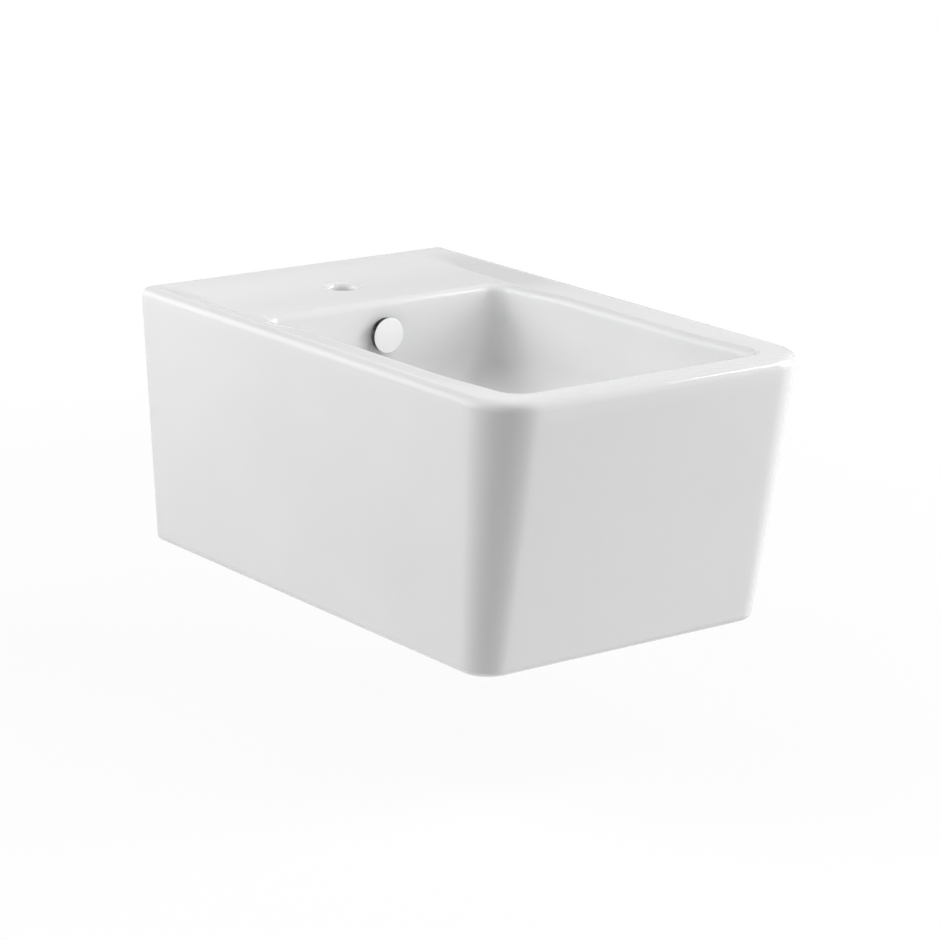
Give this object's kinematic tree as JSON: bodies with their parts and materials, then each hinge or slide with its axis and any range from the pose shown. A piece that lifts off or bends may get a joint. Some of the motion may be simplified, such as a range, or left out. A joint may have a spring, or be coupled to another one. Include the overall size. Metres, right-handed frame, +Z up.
{
  "type": "bidet",
  "caption": "Wall-hung ceramic bidet with a square leaning skirt, a tap hole in the deck, an overflow with a pull-off cap and a push-to-open waste.",
  "frame": {"origin": "midpoint between the two wall fixing holes, on the wall plane", "axes": "+Y into the wall, so the bidet projects along -Y; +Z up; +X to the right of someone who faces the wall"},
  "size_m": [0.37, 0.57, 0.261],
  "materials": {
    "glaze": "gloss",
    "chrome": "polished",
    "brass": "satin",
    "rubber": "matte",
    "soft_seal": "matte",
    "white_plastic": "satin",
    "blue_plastic": "satin",
    "steel": "satin",
    "zinc": "satin"
  },
  "bodies": {
    "ceramic": {"ceramic_body": "glaze", "overflow_ring": "chrome", "overflow_seal": "soft_seal", "waste_body": "chrome", "waste_gasket": "soft_seal", "waste_cone_washer": "rubber", "waste_slip_washer": "white_plastic", "waste_nut": "brass", "latch_housing": "white_plastic", "latch_collar": "white_plastic", "latch_spring": "steel", "fixing_sleeves": "white_plastic", "fixing_washers": "zinc", "fixing_nuts": "zinc"},
    "plug": {"plug_cap": "chrome", "plug_seal": "rubber", "plug_stem": "steel"},
    "cam": {"latch_cam": "blue_plastic"},
    "overflow_cover": {"overflow_cap": "chrome"}
  },
  "joints": [
    {"name": "plug_press", "type": "slide", "parent": "ceramic", "child": "plug", "axis": [0, 0, -1], "range_m": [0, 0.008], "stiffness_N_per_m": 400, "springref_m": -0.004, "deforming": ["latch_spring"]},
    {"name": "latch_turn", "type": "hinge", "parent": "plug", "child": "cam", "pos_m": [0, -0.24, -0.0666], "axis": [0, 0, 1], "range_deg": [0, 45]},
    {"name": "overflow_cap_pull", "type": "slide", "parent": "ceramic", "child": "overflow_cover", "axis": [0, -1, 0], "range_m": [0, 0.014]}
  ],
  "couplings": [
    {"joint": "latch_turn", "follows": "plug_press", "rad_per_m": 98.175}
  ]
}
